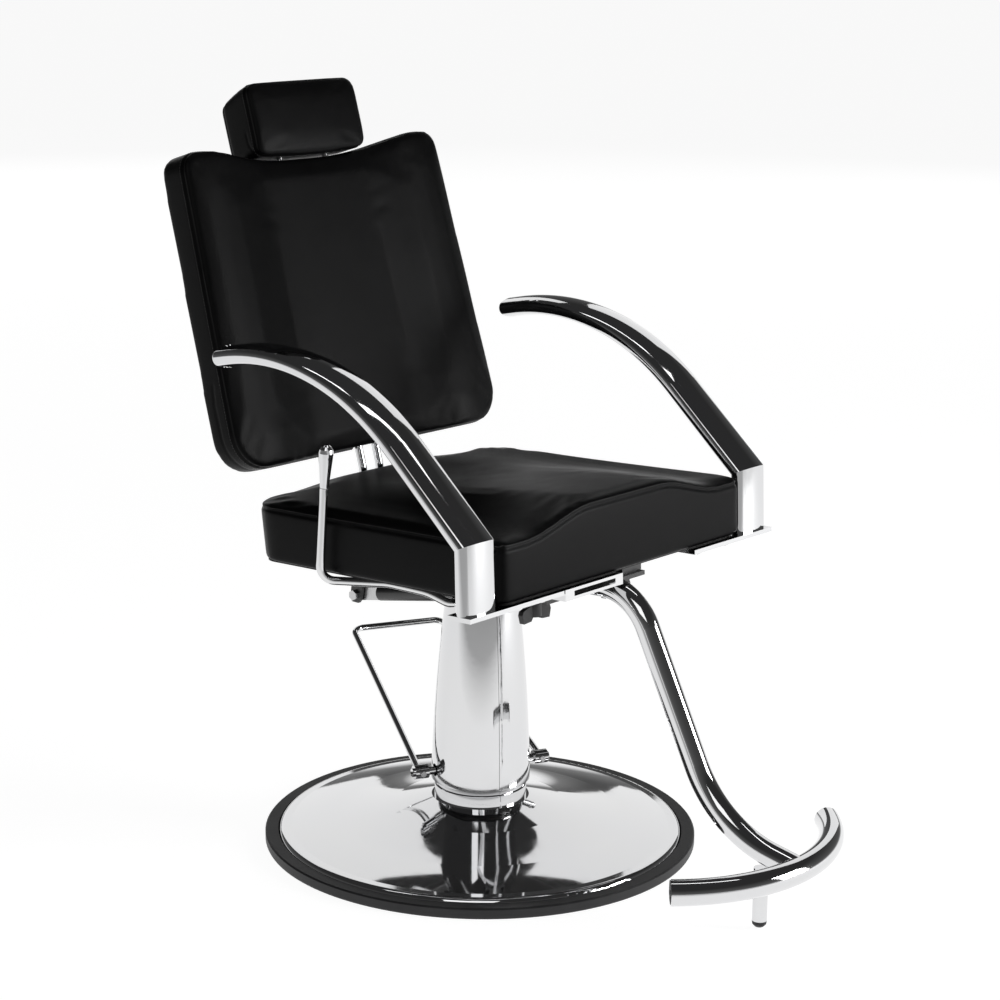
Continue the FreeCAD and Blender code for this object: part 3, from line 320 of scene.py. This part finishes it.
def rounded_outline(corners, step=0.006):
    """A closed line through corners (x, y, radius), counter-clockwise, with round corners."""
    points = []
    count = len(corners)
    for i in range(count):
        here = Vector(corners[i][:2])
        before = Vector(corners[i - 1][:2])
        after = Vector(corners[(i + 1) % count][:2])
        into = (here - before).normalized()
        away = (after - here).normalized()
        turn = into.angle_signed(away) * -1
        radius = corners[i][2]
        setback = radius * math.tan(abs(turn) / 2)
        start = here - into * setback
        side = Vector((-into.y, into.x)) * (1 if turn > 0 else -1)
        centre = start + side * radius
        steps = max(2, int(abs(turn) * radius / step) + 1)
        for k in range(steps + 1):
            a = turn * k / steps
            arm = start - centre
            points.append(centre + Vector((arm.x * math.cos(a) - arm.y * math.sin(a),
                                           arm.x * math.sin(a) + arm.y * math.cos(a))))
    line = []
    for i, point in enumerate(points):
        following = points[(i + 1) % len(points)]
        gap = (following - point).length
        if gap < 1e-7:
            continue
        parts = max(1, int(gap / step))
        line.extend(point.lerp(following, k / parts) for k in range(parts))
    return line


def outline_normals(line):
    normals = []
    for i in range(len(line)):
        along = line[(i + 1) % len(line)] - line[i - 1]
        normals.append(Vector((along.y, -along.x)).normalized())
    return normals


def shell(line, centre, layers):
    """A closed mesh from rings of an outline.

    Each layer is (inset, scale, height): points move in by inset, then towards the centre by
    scale, and height(x, y) gives the third coordinate."""
    bm = bmesh.new()
    normals = outline_normals(line)
    centre = Vector(centre)
    rings = []
    for inset, scale, height in layers:
        ring = []
        for point, normal in zip(line, normals):
            place = point - normal * inset
            place = centre + (place - centre) * scale
            ring.append(bm.verts.new((place.x, place.y, height(place.x, place.y))))
        rings.append(ring)
    count = len(line)
    for low, high in zip(rings, rings[1:]):
        for i in range(count):
            j = (i + 1) % count
            bm.faces.new((low[i], low[j], high[j], high[i]))
    for ring, height, flip in ((rings[0], layers[0][2], True), (rings[-1], layers[-1][2], False)):
        tip = bm.verts.new((centre.x, centre.y, height(centre.x, centre.y)))
        for i in range(count):
            j = (i + 1) % count
            bm.faces.new((ring[j], ring[i], tip) if flip else (ring[i], ring[j], tip))
    bmesh.ops.recalc_face_normals(bm, faces=bm.faces)
    return bm


def apply_modifiers(obj):
    graph = bpy.context.evaluated_depsgraph_get()
    graph.update()
    mesh = bpy.data.meshes.new_from_object(obj.evaluated_get(graph))
    obj.modifiers.clear()
    old = obj.data
    obj.data = mesh
    bpy.data.meshes.remove(old)


def padded_piece(name, bm, voxel, pressure, cap, held, seams, gap=0.0035):
    """Padded fabric: the shape is remeshed, swollen by cloth simulation and smoothed.

    held(co) tells whether a point rests on something hard; points near seams are held too."""
    obj = new_object(name, bm, VINYL, None)
    pattern = obj.copy()
    pattern.data = obj.data.copy()
    bpy.context.scene.collection.objects.link(pattern)
    remesh = obj.modifiers.new("Remesh", "REMESH")
    remesh.mode = "VOXEL"
    remesh.voxel_size = voxel
    wrap = obj.modifiers.new("Wrap", "SHRINKWRAP")
    wrap.target = pattern
    smooth = obj.modifiers.new("Smooth", "SMOOTH")
    smooth.factor = 0.5
    smooth.iterations = 1
    apply_modifiers(obj)
    bpy.data.objects.remove(pattern)
    rest = [v.co.copy() for v in obj.data.vertices]
    near = tree_of(seams)
    pin = obj.vertex_groups.new(name="held")
    for vert in obj.data.vertices:
        _, _, away = near.find(vert.co)
        if held(vert.co) or away < gap:
            pin.add([vert.index], 1.0, "REPLACE")
    cloth = obj.modifiers.new("Cloth", "CLOTH")
    cloth.settings.quality = 4
    cloth.settings.mass = 0.4
    cloth.settings.tension_stiffness = 20
    cloth.settings.compression_stiffness = 20
    cloth.settings.shear_stiffness = 10
    cloth.settings.bending_stiffness = 2
    cloth.settings.use_pressure = True
    cloth.settings.uniform_pressure_force = pressure
    cloth.settings.vertex_group_mass = "held"
    cloth.settings.effector_weights.gravity = 0
    cloth.collision_settings.use_collision = False
    cloth.point_cache.frame_end = 20
    scene = bpy.context.scene
    for step in range(1, 21):
        scene.frame_set(step)
    apply_modifiers(obj)
    scene.frame_set(1)
    for vert, start in zip(obj.data.vertices, rest):
        moved = vert.co - start
        if moved.length > cap:
            vert.co = start + moved * (cap / moved.length)
    ease = obj.modifiers.new("Ease", "SMOOTH")
    ease.factor = 0.5
    ease.iterations = 3
    obj.vertex_groups.clear()
    subdivide = obj.modifiers.new("Subdivision", "SUBSURF")
    subdivide.levels = 1
    subdivide.render_levels = 1
    apply_modifiers(obj)
    return obj


def tree_of(lines):
    """A search tree of points close together along lines."""
    marks = []
    for line, closed in lines:
        marks.extend(resample(line, 0.0015, closed))
    tree = KDTree(len(marks))
    for i, mark in enumerate(marks):
        tree.insert(mark, i)
    tree.balance()
    return tree


def finish_pad(obj, frame, body, replaced):
    obj.data.transform(frame)
    for face in obj.data.polygons:
        face.use_smooth = True
    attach(obj, body)
    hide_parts(replaced)
    return obj


def resample(points, gap, closed=False):
    """Points evenly spaced along a line."""
    line = list(points) + ([points[0]] if closed else [])
    lengths = [(b - a).length for a, b in zip(line, line[1:])]
    total = sum(lengths)
    count = max(2, round(total / gap))
    out = []
    segment = 0
    done = 0.0
    for k in range(count + (0 if closed else 1)):
        want = total * k / count
        while segment < len(lengths) - 1 and done + lengths[segment] < want:
            done += lengths[segment]
            segment += 1
        share = (want - done) / lengths[segment] if lengths[segment] else 0
        out.append(line[segment].lerp(line[segment + 1], min(1, share)))
    return out


def surface_of(obj):
    graph = bpy.context.evaluated_depsgraph_get()
    graph.update()
    return BVHTree.FromObject(obj, graph)


def laid_on(tree, points):
    """The nearest places on a surface, with its normals there."""
    out = []
    for point in points:
        place, normal, _, _ = tree.find_nearest(point)
        out.append((place, normal))
    return out


def sew(obj, lines, depth, width):
    """Pulls the surface in along lines, as a seam does."""
    tree = surface_of(obj)
    near = tree_of([([place for place, _ in laid_on(tree, resample(line, 0.0015, closed))], closed)
                    for line, closed in lines])
    normals = [v.normal.copy() for v in obj.data.vertices]
    for vert, normal in zip(obj.data.vertices, normals):
        _, _, away = near.find(vert.co)
        if away < width * 2.5:
            vert.co -= normal * depth * math.exp(-((away / width) ** 2))


def stitch(name, obj, lines, body, pitch=0.0042, length=0.0028, radius=0.00042, lift=0.0001):
    """A row of thread stitches along each line on a surface."""
    tree = surface_of(obj)
    bm = bmesh.new()
    for line, closed in lines:
        places = laid_on(tree, resample(line, pitch, closed))
        count = len(places)
        for i in range(count if closed else count - 1):
            place, normal = places[i]
            ahead = places[(i + 1) % count][0] - place
            if ahead.length < 1e-6:
                continue
            ahead.normalize()
            side = normal.cross(ahead).normalized()
            up = ahead.cross(side).normalized()
            turn = Matrix((ahead, side, up)).transposed().to_4x4()
            scale = Matrix.Diagonal((length / 2, radius, radius * 0.8, 1))
            where = Matrix.Translation(place + normal * lift) @ turn @ scale
            bmesh.ops.create_icosphere(bm, subdivisions=1, radius=1, matrix=where)
    return new_object(name, bm, THREAD, body)


def rounded_edge(layers, radius, edge_height, sign):
    """Adds the rings of a quarter-round edge that runs up (or down) into the face."""
    for k in range(7):
        a = math.radians(15 * k)
        layers.append((radius * (1 - math.cos(a)), 1.0,
                       lambda x, y, a=a: edge_height(x, y) - sign * radius * (1 - math.sin(a))))


def carve(obj, outlines):
    """Cuts straight-sided pockets: each is (outline points, low, high) in the pad's own axes.

    The outline runs in x and y and the pocket from low to high along z, or, when a fourth
    value is true, in x and z with the pocket along y."""
    for line, low, high, upright in outlines:
        bm = bmesh.new()
        rings = []
        for level in (low, high):
            corners = [(p[0], level, p[1]) if upright else (p[0], p[1], level) for p in line]
            rings.append([bm.verts.new(corner) for corner in corners])
        count = len(line)
        for i in range(count):
            j = (i + 1) % count
            bm.faces.new((rings[0][i], rings[0][j], rings[1][j], rings[1][i]))
        bm.faces.new(list(reversed(rings[0])))
        bm.faces.new(rings[1])
        if bm.calc_volume(signed=True) < 0:
            bmesh.ops.reverse_faces(bm, faces=bm.faces)
        cutter = new_object("cutter", bm, VINYL, None, smooth=False)
        cut = obj.modifiers.new("Pocket", "BOOLEAN")
        cut.operation = "DIFFERENCE"
        cut.solver = "EXACT"
        cut.object = cutter
        apply_modifiers(obj)
        bpy.data.objects.remove(cutter)


def block(left, right, low, high):
    return [(left, low), (right, low), (right, high), (left, high)]


# ------------------------------------------------------------------ seat cushion

def seat_hump(x):
    return 1 - smoothstep((abs(x) - 0.072) / 0.132)


def seat_top(x, v):
    """Height of the seat's top: a raised middle at the front that fades towards the back."""
    fade = 1 - 0.78 * smoothstep((v - SEAT_FRONT) / 0.40)
    dish = 0.003 * math.exp(-((v - 0.03) / 0.13) ** 2 - (x / 0.17) ** 2)
    return SEAT_EDGE + SEAT_CROWN * seat_hump(x) * fade - dish


def seat_outline(grow=0.0):
    half = SEAT_HALF + grow
    return rounded_outline([
        (-half, SEAT_FRONT - grow, 0.015), (half, SEAT_FRONT - grow, 0.015),
        (half - 0.001, SEAT_REAR + grow, 0.046), (-half + 0.001, SEAT_REAR + grow, 0.046)])


def seat_seam(drop):
    """A line round the cushion, at a distance below the edge of its top."""
    line = []
    for p in seat_outline(0.001):
        at_front = smoothstep((SEAT_FRONT + 0.03 - p.y) / 0.02)
        line.append(Vector((p.x, p.y, SEAT_EDGE + SEAT_CROWN * seat_hump(p.x) * at_front - drop)))
    return line


def make_seat_cushion():
    low = -SEAT_WRAP
    radius = 0.010
    layers = [(0.004, s, lambda x, y: low) for s in (0.3, 0.6, 0.85, 1.0)]
    layers.append((0.001, 1.0, lambda x, y: low))
    layers.append((0.0, 1.0, lambda x, y: low + 0.003))
    for share in (0.2, 0.4, 0.6, 0.8):
        layers.append((0.0, 1.0, lambda x, y, share=share:
                       low + share * (seat_top(x, y) - radius - low)))
    rounded_edge(layers, radius, seat_top, 1)
    layers.extend((radius, s, seat_top) for s in (0.92, 0.82, 0.7, 0.56, 0.42, 0.28, 0.12))
    bm = shell(seat_outline(), (0, -0.02), layers)
    for vert in bm.verts:
        if vert.co.y > 0.12:
            share = smoothstep((vert.co.y - 0.12) / 0.06)
            vert.co.y -= 0.007 * share * max(0.0, 1 - (vert.co.z - low) / 0.075)
    seam = seat_seam(0.0085)
    front_corners = []
    for side in (-1, 1):
        x = side * (SEAT_HALF - 0.004)
        front_corners.append(([Vector((x, SEAT_FRONT + 0.004, z)) for z in (0.06, low)], False))
    obj = padded_piece("seat_pad", bm, COARSE_CLOTH, 1.6, 0.0025, lambda co: co.z < low + 0.006,
                       [(seam, True)] + front_corners)
    sew(obj, [(seam, True)], 0.0020, 0.0022)
    sew(obj, front_corners, 0.0010, 0.0020)
    hollow = rounded_outline([
        (-0.2455, -0.2495, 0.02), (0.2455, -0.2495, 0.02), (0.2455, 0.1915, 0.03), (-0.2455, 0.1915, 0.03)])
    carve(obj, [(hollow, low - 0.02, 0.0004, False)])
    finish_pad(obj, SEAT, "seat", "seat_cushion")
    row = [SEAT @ p for p in seat_seam(0.0035)]
    stitch("seat_stitches", obj, [(row, True)], "seat")
    return obj


# ------------------------------------------------------------------ back cushion

def back_outline(grow=0.0):
    low = BACK_HALF + grow
    high = BACK_TOP_HALF + grow
    top = BACK_LENGTH + grow
    return rounded_outline([
        (-low - 0.001, -0.004 - grow, 0.052), (low + 0.001, -0.004 - grow, 0.052),
        (high, top, 0.028), (high - 0.050, top, 0.18), (0.070, top - BACK_DIP, 0.65),
        (-0.070, top - BACK_DIP, 0.65), (0.050 - high, top, 0.18), (-high, top, 0.028)])


def back_front(x, up):
    """Depth of the back's front face: hollow in the middle, proud at two upright ridges."""
    hollow = BACK_HOLLOW * (1 - smoothstep((abs(x) - 0.095) / 0.10))
    edge = 0.0022 * smoothstep((abs(x) - 0.215) / 0.045)
    return 0.0005 + hollow + edge


def make_back_cushion():
    line = back_outline()
    rear = BACK_RIM
    radius = 0.007
    layers = [(0.005, s, lambda x, y: rear) for s in (0.3, 0.6, 0.85, 1.0)]
    layers.append((0.001, 1.0, lambda x, y: rear))
    layers.append((0.0, 1.0, lambda x, y: rear - 0.003))
    for share in (0.25, 0.5, 0.75):
        layers.append((0.0, 1.0, lambda x, y, share=share:
                       rear + (back_front(x, y) + radius - rear) * share))
    rounded_edge(layers, radius, back_front, -1)
    layers.extend((radius, s, back_front) for s in (0.92, 0.82, 0.7, 0.56, 0.42, 0.28, 0.12))
    bm = shell(line, (0, 0.21), layers)
    for vert in bm.verts:
        vert.co = Vector((vert.co.x, vert.co.z, vert.co.y))
    bmesh.ops.recalc_face_normals(bm, faces=bm.faces)
    ring = back_outline(0.001)
    seam = [Vector((p.x, back_front(p.x, p.y) + 0.0075, p.y)) for p in ring]
    row = [Vector((p.x, back_front(p.x, p.y) + 0.0135, p.y)) for p in ring]
    panels = []
    for side in (-1, 1):
        x = side * (BACK_HALF + 0.001)
        panels.append(([Vector((x, 0.017, 0.128)), Vector((x, 0.053, 0.118))], False))
        panels.append(([Vector((x, 0.030, 0.124)), Vector((x, 0.034, 0.095)), Vector((x, 0.033, 0.06)),
                        Vector((x - side * 0.018, 0.031, 0.018)),
                        Vector((x - side * 0.055, 0.030, 0.0))], False))
    obj = padded_piece("back_pad", bm, COARSE_CLOTH, 2.0, 0.003, lambda co: co.y > rear - 0.006,
                       [(seam, True)] + panels)
    sew(obj, [(seam, True)], 0.0020, 0.0022)
    sew(obj, panels, 0.0010, 0.0018)
    carve(obj, [(back_outline(-0.0055), BACK_SIDE - 0.0004, 0.08, True),
                (block(-0.0315, 0.0315, -0.02, 0.0715), 0.0238, 0.07, True),
                (block(-0.0535, -0.0365, 0.2965, 0.46), 0.0272, 0.0441, True),
                (block(0.0365, 0.0535, 0.2965, 0.46), 0.0272, 0.0441, True)])
    finish_pad(obj, BACK, "back", "back_cushion")
    stitch("back_stitches", obj, [([BACK @ p for p in row], True)], "back")
    return obj


# ------------------------------------------------------------------ headrest

def head_outline(grow=0.0):
    half = HEAD_HALF + grow
    return rounded_outline([
        (-half, HEAD_LOW - grow, 0.013), (half, HEAD_LOW - grow, 0.013),
        (half, HEAD_HIGH + grow, 0.018), (-half, HEAD_HIGH + grow, 0.018)], 0.004)


def head_face(x, up):
    """Depth of the headrest's crowned front."""
    return (0.0008 + 0.0026 * smoothstep((abs(x) - 0.045) / 0.06)
            + 0.0018 * smoothstep((abs(up - 0.475) - 0.02) / 0.035))


def slope_down(co):
    """Lowers the top of the headrest towards the rear and crowns its bottom."""
    middle = (HEAD_LOW + HEAD_HIGH) / 2
    if co.z < middle:
        sag = HEAD_CROWN * (1 - min(1.0, abs(co.x) / HEAD_HALF) ** 2)
        co.z -= sag * (middle - co.z) / (middle - HEAD_LOW)
    elif co.z > middle:
        fall = HEAD_SLOPE * smoothstep((co.y - 0.006) / 0.066 * 0.5) * 2
        share = (co.z - middle) / (HEAD_HIGH - middle)
        co.z -= fall * share
    return co


def make_headrest():
    rear = HEAD_DEPTH
    radius = 0.008
    layers = [(0.010, s, lambda x, y: rear) for s in (0.3, 0.6, 0.85, 1.0)]
    layers.append((0.0035, 1.0, lambda x, y: rear - 0.002))
    layers.append((0.0008, 1.0, lambda x, y: rear - 0.006))
    layers.append((0.0, 1.0, lambda x, y: rear - 0.011))
    for share in (0.3, 0.6, 0.85):
        layers.append((0.0, 1.0, lambda x, y, share=share:
                       rear - 0.011 + (head_face(x, y) + radius - rear + 0.011) * share))
    rounded_edge(layers, radius, head_face, -1)
    layers.extend((radius, s, head_face) for s in (0.85, 0.65, 0.45, 0.25))
    bm = shell(head_outline(), (0, 0.475), layers)
    for vert in bm.verts:
        vert.co = slope_down(Vector((vert.co.x, vert.co.z, vert.co.y)))
    bmesh.ops.recalc_face_normals(bm, faces=bm.faces)
    ring = head_outline(0.001)
    seam = [slope_down(Vector((p.x, head_face(p.x, p.y) + 0.008, p.y))) for p in ring]
    row = [slope_down(Vector((p.x, head_face(p.x, p.y) + 0.0135, p.y))) for p in ring]
    rear_seam = [slope_down(Vector((p.x, rear - 0.008, p.y))) for p in ring]
    flaps = []
    for side in (-1, 1):
        x = side * (HEAD_HALF + 0.001)
        flaps.append(([Vector((x, 0.026, HEAD_LOW + 0.034)), Vector((x, 0.025, HEAD_LOW + 0.018)),
                       Vector((x, 0.020, HEAD_LOW + 0.006)),
                       Vector((x - side * 0.006, 0.013, HEAD_LOW - 0.001))], False))
    obj = padded_piece("headrest_pad", bm, FINE_CLOTH, 3.0, 0.003, lambda co: False,
                       [(seam, True), (rear_seam, True)])
    sew(obj, [(seam, True)], 0.0017, 0.0019)
    sew(obj, [(rear_seam, True)], 0.0009, 0.0018)
    sew(obj, flaps, 0.0009, 0.0013)
    finish_pad(obj, BACK, "headrest", "headrest_cushion")
    stitch("headrest_stitches", obj, [([BACK @ p for p in row], True)], "headrest")
    return obj


make_seat_cushion()
make_back_cushion()
make_headrest()


# ------------------------------------------------------------------ CAD nodes' finish

def soften_edges(node, width):
    weld = NODES[node].modifiers.new("Weld", "WELD")
    weld.merge_threshold = 0.00001
    bevel = NODES[node].modifiers.new("Edge", "BEVEL")
    bevel.width = width
    bevel.segments = 2
    bevel.limit_method = "ANGLE"
    bevel.angle_limit = math.radians(30)
    bevel.harden_normals = False


# ------------------------------------------------------------------ studio

def area_light(name, place, aim, size, power):
    light = bpy.data.lights.new(name, "AREA")
    light.shape = "RECTANGLE"
    light.size = size[0]
    light.size_y = size[1]
    light.energy = power
    obj = bpy.data.objects.new(name, light)
    obj.location = place
    obj.rotation_euler = (Vector(aim) - Vector(place)).to_track_quat("-Z", "Y").to_euler()
    bpy.context.scene.collection.objects.link(obj)
    return obj


def make_world():
    """Bright below the horizon, dim overhead."""
    world = bpy.data.worlds.new("studio")
    bpy.context.scene.world = world
    world.use_nodes = True
    tree = world.node_tree
    place = tree.nodes.new("ShaderNodeTexCoord")
    parts = tree.nodes.new("ShaderNodeSeparateXYZ")
    ramp = tree.nodes.new("ShaderNodeValToRGB")
    tree.links.new(place.outputs["Generated"], parts.inputs[0])
    tree.links.new(parts.outputs["Z"], ramp.inputs["Fac"])
    tree.links.new(ramp.outputs["Color"], tree.nodes["Background"].inputs["Color"])
    bright, dim = ramp.color_ramp.elements
    bright.color = (0.92, 0.92, 0.93, 1)
    dim.color = (0.03, 0.03, 0.031, 1)
    for height, value in ((0.02, 0.80), (0.06, 0.22), (0.15, 0.10), (0.60, 0.03)):
        ramp.color_ramp.elements.new(height).color = (value, value, value, 1)
    tree.nodes["Background"].inputs["Strength"].default_value = 1.0


def make_studio():
    bm = bmesh.new()
    bmesh.ops.create_grid(bm, x_segments=4, y_segments=4, size=45)
    floor = new_object("studio_floor", bm, make_floor(), None)
    area_light("key", (1.85, -2.85, 1.1), (0, 0, 0.65), (1.2, 1.6), 72)
    area_light("left_back", (4.0, 6.93, 3.7), (0, 0, 0.3), (3.9, 5.4), 60)
    area_light("right_back", (7.42, 3.0, 3.7), (0, 0, 0.3), (3.5, 5.4), 54)
    area_light("front_left", (-2.2, -1.6, 2.6), (0, 0, 0.5), (1.6, 1.5), 10)
    area_light("strip", (0.2, 0.2, 3.3), (0, 0, 0.5), (3.4, 0.25), 6)
    make_world()


def make_camera():
    data = bpy.data.cameras.new("view")
    data.lens = 88.7
    data.sensor_width = 36
    data.shift_x = 0.0165
    data.clip_end = 200
    camera = bpy.data.objects.new("view", data)
    bpy.context.scene.collection.objects.link(camera)
    ahead = Vector((0.72651, 0.64434, -0.23875)).normalized()
    right = ahead.cross(Vector((0, 0, 1))).normalized()
    up = right.cross(ahead)
    roll = math.radians(0.605)
    tilted = right * math.cos(roll) + up * math.sin(roll)
    above = up * math.cos(roll) - right * math.sin(roll)
    turn = Matrix((tilted, above, -ahead)).transposed().to_4x4()
    camera.matrix_world = Matrix.Translation((-2.4714, -2.1921, 1.3025)) @ turn
    bpy.context.scene.camera = camera


for knob in ("wing_knob_right", "wing_knob_left"):
    soften_edges(knob, 0.0022)
make_studio()
make_camera()
bpy.context.scene.view_settings.view_transform = "Standard"
